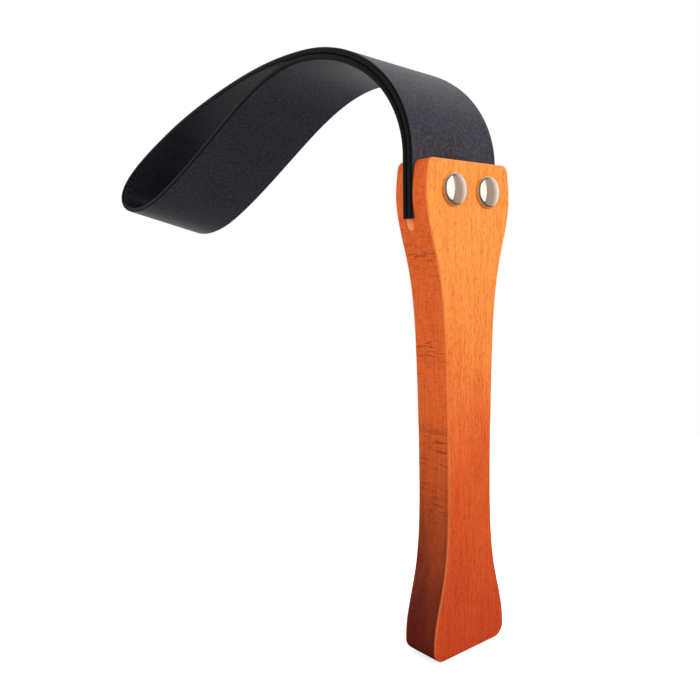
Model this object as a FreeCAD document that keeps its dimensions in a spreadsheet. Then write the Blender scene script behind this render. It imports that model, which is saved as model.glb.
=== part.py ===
import FreeCAD, Part

import math
import os

# A hand-held loop strap: a waisted wooden handle, one strip of leather folded double
# to make the loop, and two double-cap rivets that pinch the strip's tails in a slot.
#
# Frame: the origin is the centre of the handle's butt end. Z runs up the handle,
# X runs across its width and Y through its thickness. The front face looks to -Y,
# and the strap bends over to the back, +Y. Millimetres and degrees.

SIZES = (
    # handle, a flat board with a waisted outline
    ("handle_length", 191.0, "butt end to slot mouth"),
    ("handle_thickness", 17.0, "front face to back face"),
    ("butt_width", 40.0, "width at the butt end"),
    ("heel_height", 10.0, "where the butt flare is still full"),
    ("heel_width", 39.6, "width there"),
    ("ankle_height", 30.0, "middle of the lower flare"),
    ("ankle_width", 30.2, "width there"),
    ("grip_low_height", 46.0, "lower end of the grip"),
    ("grip_low_width", 25.4, "width there"),
    ("waist_height", 68.0, "narrowest place"),
    ("waist_width", 24.0, "width there"),
    ("grip_high_height", 112.0, "upper part of the grip"),
    ("grip_high_width", 25.8, "width there"),
    ("neck_height", 137.0, "upper end of the grip"),
    ("neck_width", 29.0, "width there"),
    ("shoulder_height", 153.0, "middle of the upper flare"),
    ("shoulder_width", 34.6, "width there"),
    ("head_height", 177.0, "widest place of the head"),
    ("head_width", 46.0, "width there"),
    ("mouth_width", 43.0, "width at the slot mouth"),
    ("butt_corner", 5.0, "corner radius of the outline at the butt"),
    ("mouth_corner", 2.5, "corner radius of the outline at the mouth"),
    ("edge_round", 1.1, "rounding all round both faces"),
    # slot for the strap
    ("slot_set_back", 1.5, "slot centre behind the middle of the board"),
    ("tail_depth", 21.3, "how far the leather goes in"),
    ("kerf_width", 3.2, "saw cut below the leather"),
    ("kerf_below", 4.4, "foot of the leather to the round end of the saw cut"),
    ("kerf_set_back", 1.75, "middle of the saw cut behind the middle of the board"),
    # leather strip, folded double
    ("strap_width", 47.0, "width of the strip"),
    ("leather", 2.4, "thickness of one layer"),
    ("layer_gap", 0.2, "air between the two layers"),
    ("strap_length", 244.0, "mouth to fold, along the middle of the doubled strip"),
    ("neck_straight", 1.0, "straight length above the mouth, up to the flexing line"),
    ("flex_gap", 0.1, "left open between the tails and the free part at the flexing line"),
    ("bend_at_mouth", 171.3, "turn per 100 mm where the bend starts"),
    ("bend_at_fifth", 82.5, "turn per 100 mm a fifth of the way along"),
    ("bend_at_two_fifths", 55.6, "turn per 100 mm two fifths along"),
    ("bend_at_three_fifths", 12.3, "turn per 100 mm three fifths along"),
    ("bend_at_four_fifths", 3.3, "turn per 100 mm four fifths along, all but straight"),
    ("bend_at_fold", -99.1, "turn per 100 mm at the fold, the other way"),
    ("sideways_drift", 22.2, "how far the fold has wandered to -X"),
    ("twist_angle", 11.9, "roll of the fold about the strip's own line"),
    ("eye_start", 85.3, "where the layers part"),
    ("eye_height", 28.8, "greatest opening between the layers"),
    ("fold_depth", 35.1, "length of the rounded fold, inside, from the full eye to its end"),
    # double-cap rivets
    ("rivet_spacing", 18.4, "centre to centre"),
    ("rivet_drop", 10.9, "mouth to rivet centres"),
    ("cap_diameter", 12.0, "domed cap"),
    ("cap_wall", 0.5, "sheet metal of the cap"),
    ("cap_side", 0.7, "straight part of the cap's side"),
    ("cap_round", 1.1, "rounded shoulder of the cap"),
    ("dome_radius", 16.0, "radius of the dome"),
    ("lip_width", 1.2, "rim of the cap turned in under the flange"),
    ("flange_thickness", 0.6, "flange of post and socket"),
    ("cap_play", 0.15, "flange edge to cap wall"),
    ("pin_diameter", 3.0, "post"),
    ("pin_short", 4.0, "tip of the post to the back face"),
    ("pin_play", 0.05, "post to socket bore, all round"),
    ("tube_diameter", 4.4, "socket tube"),
    ("tube_short", 2.0, "tip of the socket to the front face"),
    ("bore_end", 1.0, "end of the socket bore to the back face"),
    ("hole_play", 0.1, "socket to its hole, all round"),
)

doc = FreeCAD.newDocument("loop_strap")
sheet = doc.addObject("Spreadsheet::Sheet", "sizes")
for row, (alias, value, note) in enumerate(SIZES, start=1):
    sheet.set(f"A{row}", str(value))
    sheet.set(f"B{row}", note)
    sheet.setAlias(f"A{row}", alias)
doc.recompute()


def size(alias):
    """A driving size, as a number."""
    return float(getattr(sheet, alias))


def bind(thing, **expressions):
    """Ties properties to the sheet. A double underscore in a name stands for a dot."""
    for prop, expression in expressions.items():
        thing.setExpression(prop.replace("__", "."), expression)


# ---------------------------------------------------------------- handle

NEAR = 1e-4  # two places closer than this are the same
RUN_OVER = 0.5  # how far a cut starts outside what it cuts


def origin_plane(body, role):
    """One of a body's own origin planes."""
    return next(item for item in body.Origin.OriginFeatures if item.Role == role)


def new_sketch(body, name, role):
    """An empty sketch on one of the body's origin planes."""
    sketch = body.newObject("Sketcher::SketchObject", name)
    sketch.AttachmentSupport = [(origin_plane(body, role), "")]
    sketch.MapMode = "FlatFace"
    return sketch


def cut_volume(feature, before, what):
    """Stops if a cut took nothing away."""
    if feature.Shape.Volume >= before - NEAR:
        raise RuntimeError(f"{what} removed nothing")


def outline_stations():
    """Height and half width at each place that shapes the handle's side."""
    names = ("heel", "ankle", "grip_low", "waist", "grip_high", "neck", "shoulder", "head")
    inner = [(size(f"{name}_height"), size(f"{name}_width") / 2) for name in names]
    butt = (0.0, size("butt_width") / 2)
    mouth = (size("handle_length"), size("mouth_width") / 2)
    return [butt] + inner + [mouth]


def side_curve(sign):
    """The smooth side of the outline, through the stations, at +X or -X."""
    points = [FreeCAD.Vector(sign * half, height, 0) for height, half in outline_stations()]
    curve = Part.BSplineCurve()
    curve.interpolate(points)
    return curve, points[0], points[-1]


def outline_sketch(body):
    """The waisted outline in the XZ plane: two smooth sides, a butt line and a mouth line."""
    sketch = new_sketch(body, "handle_outline", "XZ_Plane")
    right, right_low, right_high = side_curve(1)
    left, left_low, left_high = side_curve(-1)
    sketch.addGeometry(right)
    sketch.addGeometry(Part.LineSegment(right_high, left_high))
    sketch.addGeometry(left)
    sketch.addGeometry(Part.LineSegment(left_low, right_low))
    return sketch


def edges_where(shape, test):
    """Names of the edges whose end points, as a list, pass the test."""
    return [
        f"Edge{number}"
        for number, edge in enumerate(shape.Edges, start=1)
        if test([vertex.Point for vertex in edge.Vertexes])
    ]


def corner_edges(shape, height):
    """Edges across the board's thickness, at one end of the handle."""

    def is_corner(ends):
        level = all(abs(end.z - height) < NEAR for end in ends)
        return level and abs(ends[0].y - ends[-1].y) > NEAR

    return edges_where(shape, is_corner)


def face_edges(shape, depth):
    """Edges round one of the two broad faces."""
    return edges_where(shape, lambda ends: all(abs(end.y - depth) < NEAR for end in ends))


def rounding(body, name, edges, expression):
    """A fillet of the body's tip, with its radius tied to the sheet."""
    base = body.Tip
    fillet = body.newObject("PartDesign::Fillet", name)
    fillet.Base = (base, edges)
    bind(fillet, Radius=expression)
    doc.recompute()


def through_cut(body, name, sketch):
    """A pocket through the whole board, both ways from its sketch."""
    before = body.Shape.Volume
    pocket = body.newObject("PartDesign::Pocket", name)
    pocket.Profile = sketch
    pocket.Type = "ThroughAll"
    pocket.Midplane = True
    doc.recompute()
    cut_volume(pocket, before, name)


def slot_sketch(body):
    """The leather's slot, seen from the side: a rectangle from the mouth down."""
    sketch = new_sketch(body, "slot_profile", "YZ_Plane")
    half = size("leather") + size("layer_gap") / 2
    low = size("handle_length") - size("tail_depth")
    high = size("handle_length") + RUN_OVER
    middle = size("slot_set_back")
    front, back = middle - half, middle + half
    corners = [(front, low), (back, low), (back, high), (front, high)]
    add_loop(sketch, corners)
    return sketch


def add_loop(sketch, corners):
    """Straight lines round a closed outline."""
    points = [FreeCAD.Vector(across, up, 0) for across, up in corners]
    for here, there in zip(points, points[1:] + points[:1]):
        sketch.addGeometry(Part.LineSegment(here, there))


def kerf_sketch(body):
    """The saw cut under the leather, with its round end."""
    sketch = new_sketch(body, "kerf_profile", "YZ_Plane")
    radius = size("kerf_width") / 2
    foot = size("handle_length") - size("tail_depth")
    high = foot + RUN_OVER
    middle = foot - size("kerf_below") + radius
    centre = size("kerf_set_back")
    left_high = FreeCAD.Vector(centre - radius, high, 0)
    right_high = FreeCAD.Vector(centre + radius, high, 0)
    left_low = FreeCAD.Vector(centre - radius, middle, 0)
    right_low = FreeCAD.Vector(centre + radius, middle, 0)
    bottom = FreeCAD.Vector(centre, middle - radius, 0)
    sketch.addGeometry(Part.LineSegment(right_low, right_high))
    sketch.addGeometry(Part.LineSegment(right_high, left_high))
    sketch.addGeometry(Part.LineSegment(left_high, left_low))
    sketch.addGeometry(Part.Arc(left_low, bottom, right_low))
    return sketch


def hole_sketch(body):
    """Two rivet holes, seen from the front."""
    sketch = new_sketch(body, "rivet_holes", "XZ_Plane")
    height = size("handle_length") - size("rivet_drop")
    radius = size("tube_diameter") / 2 + size("hole_play")
    for sign in (-1, 1):
        centre = FreeCAD.Vector(sign * size("rivet_spacing") / 2, height, 0)
        sketch.addGeometry(Part.Circle(centre, FreeCAD.Vector(0, 0, 1), radius))
    return sketch


def make_handle():
    """The board: outline, round corners and edges, slot, saw cut and rivet holes."""
    body = doc.addObject("PartDesign::Body", "handle_body")
    body.Label = "handle"
    pad = body.newObject("PartDesign::Pad", "board")
    pad.Profile = outline_sketch(body)
    pad.Midplane = True
    bind(pad, Length="sizes.handle_thickness")
    doc.recompute()
    butt_edges = corner_edges(body.Shape, 0.0)
    rounding(body, "butt_corners", butt_edges, "sizes.butt_corner")
    mouth_edges = corner_edges(body.Shape, size("handle_length"))
    rounding(body, "mouth_corners", mouth_edges, "sizes.mouth_corner")
    face = size("handle_thickness") / 2
    rims = face_edges(body.Shape, -face) + face_edges(body.Shape, face)
    rounding(body, "eased_edges", rims, "sizes.edge_round")
    through_cut(body, "slot", slot_sketch(body))
    through_cut(body, "saw_cut", kerf_sketch(body))
    through_cut(body, "rivet_bores", hole_sketch(body))
    return body


# ---------------------------------------------------------------- leather strip


BEND_NAMES = ("mouth", "fifth", "two_fifths", "three_fifths", "four_fifths", "fold")
LINE_STEP = 0.5


def bend_at(distance):
    """How sharply the strip bends, in radians per mm: straight lines between the named bends."""
    start = size("neck_straight")
    if distance < start:
        return 0.0
    bends = [size(f"bend_at_{name}") for name in BEND_NAMES]
    share = min((distance - start) / (size("strap_length") - start), 1.0) * (len(bends) - 1)
    index = min(int(share), len(bends) - 2)
    bend = bends[index] + (bends[index + 1] - bends[index]) * (share - index)
    return math.radians(bend) / 100


def walk_side_line():
    """The doubled strip's middle line in the side view, in small steps from the mouth.

    It starts straight up, and each step turns by the bend there. It runs on past the fold
    by half the leather, to the middle of the leather there. Each entry is across, up and
    the direction as an angle.
    """
    across, up, heading = size("slot_set_back"), size("handle_length"), math.pi / 2
    line = [(across, up, heading)]
    for index in range(math.ceil((size("strap_length") + size("leather") / 2) / LINE_STEP)):
        turned = heading - bend_at((index + 0.5) * LINE_STEP) * LINE_STEP
        middle = (heading + turned) / 2
        across += LINE_STEP * math.cos(middle)
        up += LINE_STEP * math.sin(middle)
        heading = turned
        line.append((across, up, heading))
    return line


SIDE_LINE = walk_side_line()


def side_line(distance):
    """Across, up and direction at any distance, between two steps of the walk."""
    index = min(int(distance / LINE_STEP), len(SIDE_LINE) - 2)
    share = distance / LINE_STEP - index
    here, there = SIDE_LINE[index], SIDE_LINE[index + 1]
    return [first + (second - first) * share for first, second in zip(here, there)]


def strip_frame(distance):
    """Place, forward, sideways and outward directions of the doubled strip."""
    across, up, heading = side_line(distance)
    share = distance / size("strap_length")
    drift = size("sideways_drift")
    place = FreeCAD.Vector(-drift * share**2, across, up)
    lean = -2 * drift * share / size("strap_length")
    forward = FreeCAD.Vector(lean, math.cos(heading), math.sin(heading)).normalize()
    level = FreeCAD.Vector(1, 0, 0) - forward * forward.x
    level.normalize()
    roll = FreeCAD.Rotation(forward, size("twist_angle") * share)
    sideways = roll.multVec(level)
    return place, forward, sideways, sideways.cross(forward)


def fold_start():
    """Where the eye is at its full height and the layers begin to close on the fold."""
    return size("strap_length") - size("fold_depth")


def half_gap(distance):
    """Half the opening between the layers: shut, then an easy S up to the full eye."""
    share = (distance - size("eye_start")) / (fold_start() - size("eye_start"))
    share = min(max(share, 0.0), 1.0)
    opened = (size("eye_height") - size("layer_gap")) * share**2 * (3 - 2 * share)
    return (size("layer_gap") + opened) / 2


def section(centre, sideways, normal):
    """The four corners of the strip's cross-section: its width by its thickness."""
    wide = sideways * (size("strap_width") / 2)
    thick = normal * (size("leather") / 2)
    return [centre - wide - thick, centre + wide - thick, centre + wide + thick, centre - wide + thick]


SECTION_STEP = 6.0
FEWEST_SECTIONS = 8
FOLD_SECTIONS = 18


def loop_sections():
    """Sections up the outer layer, round the fold and back down the inner layer.

    The fold is half an ellipse about the strip's middle line, bent along with it.
    """
    start = size("neck_straight")
    free = fold_start() - start
    count = max(int(free / SECTION_STEP), FEWEST_SECTIONS)
    stops = [start + free * index / count for index in range(count + 1)]
    outer, inner = [], []
    for stop in stops:
        place, forward, sideways, outward = strip_frame(stop)
        reach = half_gap(stop) + size("leather") / 2
        outer.append(section(place + outward * reach, sideways, outward))
        inner.append(section(place - outward * reach, sideways, -outward))
    reach = half_gap(fold_start()) + size("leather") / 2
    depth = size("fold_depth") + size("leather") / 2
    fold = []
    for index in range(1, FOLD_SECTIONS):
        turn = math.pi / 2 - math.pi * index / FOLD_SECTIONS
        place, forward, sideways, outward = strip_frame(fold_start() + depth * math.cos(turn))
        centre = place + outward * (reach * math.sin(turn))
        normal = forward * (reach * math.cos(turn)) + outward * (depth * math.sin(turn))
        fold.append(section(centre, sideways, normal.normalize()))
    return outer + fold + inner[::-1]


SECTIONS_PER_FACE = 6


def make_loop():
    """The free part of the strip, from the flexing line round the fold and back.

    Its four long edges are smooth curves through the sections' corners. Short lengths
    of each edge and the next are joined by ruled faces, and a flat cut closes each end.
    """
    sections = loop_sections()
    last = len(sections) - 1
    steps = [float(index) for index in range(len(sections))]
    stops = sorted(set(range(0, last, SECTIONS_PER_FACE)) | {last})
    curves = []
    for corner in range(4):
        curve = Part.BSplineCurve()
        curve.interpolate(Points=[corners[corner] for corners in sections], Parameters=steps)
        curves.append(curve)
    faces = []
    for low, high in zip(stops, stops[1:]):
        edges = [curve.toShape(float(low), float(high)) for curve in curves]
        for corner in range(4):
            faces.append(Part.makeRuledSurface(edges[corner], edges[(corner + 1) % 4], 1))
    for corners in (sections[0], sections[-1]):
        faces.append(Part.Face(Part.makePolygon(corners + corners[:1])))
    shell = Part.makeShell(faces)
    shell.sewShape()
    solid = Part.makeSolid(shell)
    if solid.Volume < 0:
        solid.reverse()
    feature = doc.addObject("Part::Feature", "loop_feature")
    feature.Label = "strap_loop"
    feature.Shape = solid
    return feature


def make_tail(name, sense):
    """One tail of the strip in the slot, with its two rivet holes."""
    plate = doc.addObject("Part::Box", f"{name}_plate")
    bind(
        plate,
        Length="sizes.strap_width",
        Width="sizes.leather",
        Height="sizes.tail_depth + sizes.neck_straight - sizes.flex_gap",
        Placement__Base__x="-sizes.strap_width / 2",
        Placement__Base__z="sizes.handle_length - sizes.tail_depth",
    )
    front = "sizes.slot_set_back - sizes.leather - sizes.layer_gap / 2"
    back = "sizes.slot_set_back + sizes.layer_gap / 2"
    bind(plate, Placement__Base__y=back if sense > 0 else front)
    cutters = [make_hole_cutter(f"{name}_hole_{side}", sign) for side, sign in SIDES]
    both = doc.addObject("Part::MultiFuse", f"{name}_cutters")
    both.Shapes = cutters
    tail = doc.addObject("Part::Cut", name)
    tail.Base = plate
    tail.Tool = both
    return tail


def make_hole_cutter(name, sign):
    """A rod through both layers where one rivet passes."""
    rod = doc.addObject("Part::Cylinder", name)
    rod.Placement = FreeCAD.Placement(FreeCAD.Vector(), FreeCAD.Rotation(FreeCAD.Vector(1, 0, 0), 90))
    bind(
        rod,
        Radius="sizes.tube_diameter / 2 + sizes.hole_play",
        Height="sizes.handle_thickness",
        Placement__Base__x=f"{sign} * sizes.rivet_spacing / 2",
        Placement__Base__y="sizes.handle_thickness / 2",
        Placement__Base__z="sizes.handle_length - sizes.rivet_drop",
    )
    return rod


def make_root():
    """Both tails of the strip, from the bottom of the slot to the flexing line."""
    root = doc.addObject("Part::Compound", "root_tails")
    root.Label = "strap_root"
    root.Links = [make_tail("front_tail", -1), make_tail("back_tail", 1)]
    return root


# ---------------------------------------------------------------- rivets

SIDES = (("left", -1), ("right", 1))


def cylinder(name, radius, height, lift):
    """A cylinder along the rivet's own axis, starting at a height above the wood."""
    rod = doc.addObject("Part::Cylinder", name)
    bind(rod, Radius=radius, Height=height, Placement__Base__z=lift)
    return rod


def joined(kind, name, base, tool):
    """A boolean of two objects."""
    result = doc.addObject(kind, name)
    result.Base = base
    result.Tool = tool
    return result


def dome(name, inset):
    """A dome with a rounded shoulder: a cylinder capped by a sphere, inset by a wall."""
    radius = f"(sizes.cap_diameter / 2 - {inset})"
    ball_radius = f"(sizes.dome_radius - {inset})"
    # The sphere's centre is set so that shoulder and dome meet at the top of the side.
    drop = (
        "sqrt((sizes.dome_radius - sizes.cap_round) ^ 2"
        " - (sizes.cap_diameter / 2 - sizes.cap_round) ^ 2)"
    )
    rod = cylinder(f"{name}_rod", radius, "sizes.dome_radius", inset)
    ball = doc.addObject("Part::Sphere", f"{name}_ball")
    bind(ball, Radius=ball_radius, Placement__Base__z=f"sizes.cap_side - {drop}")
    blank = joined("Part::Common", f"{name}_blank", rod, ball)
    doc.recompute()
    rim = rod.Radius.Value
    highest = max(vertex.Point.z for vertex in blank.Shape.Vertexes if vertex.Point.x > rim - NEAR)
    round_radius = size("cap_round") - (size("cap_diameter") / 2 - rim)
    rounded = doc.addObject("Part::Fillet", name)
    rounded.Base = blank
    rounded.Edges = [
        (number, round_radius, round_radius)
        for number, edge in enumerate(blank.Shape.Edges, start=1)
        if all(abs(vertex.Point.z - highest) < NEAR for vertex in edge.Vertexes)
    ]
    doc.recompute()
    return rounded


def seat(thing, side_sign, faces_back):
    """Stands a rivet piece on the front or the back face, its axis pointing outwards."""
    tilt = -90 if faces_back else 90
    turn = FreeCAD.Rotation(FreeCAD.Vector(1, 0, 0), tilt)
    thing.Placement = FreeCAD.Placement(FreeCAD.Vector(), turn)
    face = "sizes.handle_thickness / 2" if faces_back else "-sizes.handle_thickness / 2"
    bind(
        thing,
        Placement__Base__x=f"{side_sign} * sizes.rivet_spacing / 2",
        Placement__Base__y=face,
        Placement__Base__z="sizes.handle_length - sizes.rivet_drop",
    )


def make_cap(label, side_sign, faces_back):
    """A domed sheet-metal cap, its rim turned in under the flange."""
    outside = dome(f"{label}_outside", "0")
    inside = dome(f"{label}_inside", "sizes.cap_wall")
    shell = joined("Part::Cut", f"{label}_shell", outside, inside)
    mouth = cylinder(
        f"{label}_mouth",
        "sizes.cap_diameter / 2 - sizes.lip_width",
        "sizes.cap_wall * 2",
        "-sizes.cap_wall / 2",
    )
    cap = joined("Part::Cut", f"{label}_cap", shell, mouth)
    cap.Label = label
    seat(cap, side_sign, faces_back)
    return cap


FLANGE_RADIUS = "sizes.cap_diameter / 2 - sizes.cap_wall - sizes.cap_play"
INTO_FLANGE = "sizes.cap_wall + sizes.flange_thickness / 2"
PIN_REACH = "sizes.handle_thickness - sizes.pin_short"
TUBE_REACH = "sizes.handle_thickness - sizes.tube_short"


def make_post(label, side_sign):
    """The front half: a flange under the cap and a solid pin."""
    flange = cylinder(f"{label}_flange", FLANGE_RADIUS, "sizes.flange_thickness", "sizes.cap_wall")
    pin = cylinder(
        f"{label}_pin",
        "sizes.pin_diameter / 2",
        f"{PIN_REACH} + {INTO_FLANGE}",
        f"-({PIN_REACH})",
    )
    post = joined("Part::Fuse", f"{label}_post", flange, pin)
    post.Label = label
    seat(post, side_sign, False)
    return post


def make_socket(label, side_sign):
    """The back half: a flange under the cap and the tube that swallows the pin."""
    flange = cylinder(f"{label}_flange", FLANGE_RADIUS, "sizes.flange_thickness", "sizes.cap_wall")
    tube = cylinder(
        f"{label}_tube",
        "sizes.tube_diameter / 2",
        f"{TUBE_REACH} + {INTO_FLANGE}",
        f"-({TUBE_REACH})",
    )
    blank = joined("Part::Fuse", f"{label}_blank", flange, tube)
    bore = cylinder(
        f"{label}_bore",
        "sizes.pin_diameter / 2 + sizes.pin_play",
        f"{TUBE_REACH} - sizes.bore_end + {RUN_OVER}",
        f"-({TUBE_REACH}) - {RUN_OVER}",
    )
    socket = joined("Part::Cut", f"{label}_socket", blank, bore)
    socket.Label = label
    seat(socket, side_sign, True)
    return socket


def make_rivet(side, sign):
    """One double-cap rivet: front cap, post, socket and back cap."""
    return [
        make_cap(f"rivet_{side}_front_cap", sign, False),
        make_post(f"rivet_{side}_post", sign),
        make_socket(f"rivet_{side}_socket", sign),
        make_cap(f"rivet_{side}_back_cap", sign, True),
    ]


# ---------------------------------------------------------------- build and write

nodes = [make_handle(), make_root(), make_loop()]
for side_name, side_sense in SIDES:
    nodes.extend(make_rivet(side_name, side_sense))
doc.recompute()

for item in doc.Objects:
    if "Invalid" in item.State or "Error" in item.State:
        raise RuntimeError(f"{item.Name} did not build: {item.State}")
for node in nodes:
    if node.Shape.isNull() or not node.Shape.isValid():
        raise RuntimeError(f"{node.Label} has no sound shape")

os.makedirs("parts", exist_ok=True)
for node in nodes:
    node.Shape.exportStep(f"parts/{node.Label}.step")
    box = node.Shape.BoundBox
    across = f"X {box.XMin:.1f}..{box.XMax:.1f}  Y {box.YMin:.1f}..{box.YMax:.1f}"
    print(f"{node.Label:24s} {len(node.Shape.Solids)} solid(s)  {across}  Z {box.ZMin:.1f}..{box.ZMax:.1f}")
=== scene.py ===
# %% [markdown]
# # A loop strap: waisted beech handle, folded leather, two domed rivets
#
# The fixed frame comes first. The imported model is loaded once, and every visible piece
# is then built around it, in metres, in the same place. A helper reads each CAD part's box.

# %% Load the frame
import math

import bmesh
import bpy
import numpy as np
from mathutils import Matrix, Vector


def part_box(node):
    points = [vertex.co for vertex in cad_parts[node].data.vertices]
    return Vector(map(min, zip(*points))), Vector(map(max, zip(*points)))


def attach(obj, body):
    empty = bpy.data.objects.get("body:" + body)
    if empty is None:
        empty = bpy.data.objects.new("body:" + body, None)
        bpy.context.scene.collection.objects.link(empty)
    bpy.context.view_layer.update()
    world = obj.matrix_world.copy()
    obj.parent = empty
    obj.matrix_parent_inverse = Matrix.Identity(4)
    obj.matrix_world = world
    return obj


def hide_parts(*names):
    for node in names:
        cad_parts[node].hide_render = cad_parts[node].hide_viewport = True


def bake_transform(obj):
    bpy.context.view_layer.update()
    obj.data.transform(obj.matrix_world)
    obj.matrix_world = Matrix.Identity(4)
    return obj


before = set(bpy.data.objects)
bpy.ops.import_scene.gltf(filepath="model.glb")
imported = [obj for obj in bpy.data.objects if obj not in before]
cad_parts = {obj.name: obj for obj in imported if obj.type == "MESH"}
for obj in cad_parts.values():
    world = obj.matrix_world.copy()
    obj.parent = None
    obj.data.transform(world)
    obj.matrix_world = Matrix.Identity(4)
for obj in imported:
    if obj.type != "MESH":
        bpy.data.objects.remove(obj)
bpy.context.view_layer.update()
MM = 0.001

# %% [markdown]
# Every piece below is a mesh worked out as whole arrays. A surface is usually a grid:
# one direction runs along the piece and the other runs round its section. These helpers
# turn such a grid into faces, and put the arrays into a Blender mesh in one go.

# %% Grid and mesh helpers


def grid_faces(rows, columns, wrap_rows=False, wrap_columns=True):
    """Quads of a rows x columns grid of points, numbered row by row.

    Face (i, j) joins point (i, j) to its neighbours at i + 1 and j + 1, and a wrapped
    direction joins its last line to its first.
    """
    i = np.arange(rows if wrap_rows else rows - 1)[:, None]
    j = np.arange(columns if wrap_columns else columns - 1)[None, :]
    below, beside = (i + 1) % rows, (j + 1) % columns
    corners = [i * columns + j, i * columns + beside, below * columns + beside, below * columns + j]
    return np.stack([np.broadcast_to(c, (i.size, j.size)) for c in corners], -1).reshape(-1, 4)


def new_piece(name, points, faces, material=None, smooth=True):
    """A mesh object at the origin, from an (n, 3) array in metres and a list of faces."""
    mesh = bpy.data.meshes.new(name)
    mesh.from_pydata(np.asarray(points).tolist(), [], [list(map(int, face)) for face in faces])
    mesh.update()
    if smooth:
        mesh.shade_smooth()
    piece = bpy.data.objects.new(name, mesh)
    bpy.context.scene.collection.objects.link(piece)
    if material:
        mesh.materials.append(material)
    return piece


def store(piece, name, values):
    """Keeps one number per point in the mesh, for a material to read."""
    layer = piece.data.attributes.new(name, "FLOAT", "POINT")
    layer.data.foreach_set("value", np.asarray(values, np.float32))


def set_uv(piece, across, along):
    """A UV map in metres from one pair of numbers per point, given to every face corner."""
    corner_points = np.zeros(len(piece.data.loops), np.int32)
    piece.data.loops.foreach_get("vertex_index", corner_points)
    uv = np.stack([np.asarray(across)[corner_points], np.asarray(along)[corner_points]], -1)
    layer = piece.data.uv_layers.new(name="surface")
    layer.data.foreach_set("uv", uv.astype(np.float32).ravel())


def faces_outward(piece):
    """Turns every face of a closed mesh outwards."""
    work = bmesh.new()
    work.from_mesh(piece.data)
    bmesh.ops.remove_doubles(work, verts=work.verts, dist=1e-7)
    bmesh.ops.recalc_face_normals(work, faces=work.faces)
    work.to_mesh(piece.data)
    work.free()


# %% [markdown]
# Shader maths reads best as ordinary expressions. `Sock` wraps a node socket, or a
# number, so that `1 - mask` or `a * b` adds the Math node it stands for. `Recipe` makes
# any other node: the type, its settings and the values or links of its sockets.

# %% A socket that does arithmetic


class Sock:
    """One output socket of a material's nodes, with + - * / that add Math nodes."""

    def __init__(self, recipe, socket):
        self.recipe, self.socket = recipe, socket

    def _math(self, operation, first, second):
        return self.recipe.node("ShaderNodeMath", {"operation": operation}, {0: first, 1: second})

    def __add__(self, other):
        return self._math("ADD", self, other)

    def __sub__(self, other):
        return self._math("SUBTRACT", self, other)

    def __rsub__(self, other):
        return self._math("SUBTRACT", other, self)

    def __mul__(self, other):
        return self._math("MULTIPLY", self, other)

    def __truediv__(self, other):
        return self._math("DIVIDE", self, other)

    def __abs__(self):
        return self._math("ABSOLUTE", self, 0.0)

    def over(self, low, high):
        """0 below low, 1 above high and an easy S between them."""
        settings = {"interpolation_type": "SMOOTHSTEP"}
        return self.recipe.node("ShaderNodeMapRange", settings, {0: self, 1: low, 2: high})

    __radd__, __rmul__ = __add__, __mul__


class Recipe:
    """A material under construction, around one Principled shader."""

    def __init__(self, name):
        self.material = bpy.data.materials.new(name)
        self.material.use_nodes = True
        self.tree = self.material.node_tree
        self.tree.nodes.clear()
        self.shader = self.tree.nodes.new("ShaderNodeBsdfPrincipled")
        output = self.tree.nodes.new("ShaderNodeOutputMaterial")
        self.tree.links.new(self.shader.outputs[0], output.inputs["Surface"])

    def feed(self, node, sockets):
        """Puts values or links into a node's input sockets, named or numbered."""
        for key, value in sockets.items():
            if isinstance(value, Sock):
                self.tree.links.new(value.socket, node.inputs[key])
            elif hasattr(value, "__len__") and node.inputs[key].type == "RGBA":
                node.inputs[key].default_value = (*value, 1.0)[:4]
            else:
                node.inputs[key].default_value = value

    def node(self, kind, settings=None, sockets=None, out=0):
        """Adds one node: its settings first, then its sockets. Returns one output."""
        made = self.tree.nodes.new(kind)
        for key, value in (settings or {}).items():
            setattr(made, key, value)
        self.feed(made, sockets or {})
        return Sock(self, made.outputs[out])

    def split(self, vector):
        """The x, y and z of a vector."""
        return [self.node("ShaderNodeSeparateXYZ", None, {0: vector}, out=k) for k in range(3)]

    def moved(self, where, scale=(1, 1, 1), turn=(0, 0, 0), shift=(0, 0, 0)):
        """Coordinates scaled, turned and shifted, for a pattern to read."""
        sockets = {"Vector": where, "Scale": scale, "Rotation": turn, "Location": shift}
        return self.node("ShaderNodeMapping", None, sockets)

    def noise(self, where, scale, detail=3.0, roughness=0.5, distortion=0.0):
        """Soft random values about 0.5."""
        sockets = {"Vector": where, "Scale": scale, "Detail": detail}
        sockets.update({"Roughness": roughness, "Distortion": distortion})
        return self.node("ShaderNodeTexNoise", None, sockets)

    def mix(self, share, first, second, blend="MIX"):
        """Two colours mixed by a share of the second."""
        settings = {"data_type": "RGBA", "blend_type": blend}
        return self.node("ShaderNodeMix", settings, {0: share, 6: first, 7: second}, out=2)

    def bump(self, height, distance, strength):
        """A normal from a height that is distance tall, in metres, where it is 1."""
        sockets = {"Height": height, "Distance": distance, "Strength": strength}
        return self.node("ShaderNodeBump", None, sockets)

    def finish(self, **sockets):
        """Feeds the shader. An underscore in a name stands for a space."""
        self.feed(self.shader, {key.replace("_", " "): value for key, value in sockets.items()})
        return self.material


# %% [markdown]
# The camera stands low, 300 mm away and to the left of the front face, so both the front
# and the narrow side of the handle show, and a little of the loop's inside. It aims about
# halfway up, between handle and loop. It is made early because all is judged through it.

# %% Camera
LENS_MM, SENSOR_MM = 38.06, 36.0
AZIMUTH, ELEVATION, ROLL = (math.radians(angle) for angle in (-39.262, 5.634, -0.959))
AIM = np.array([-25.4, 33.5, 119.2]) * MM
DISTANCE = 300 * MM
NEAREST_SEEN, FARTHEST_SEEN = 0.01, 50.0


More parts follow.
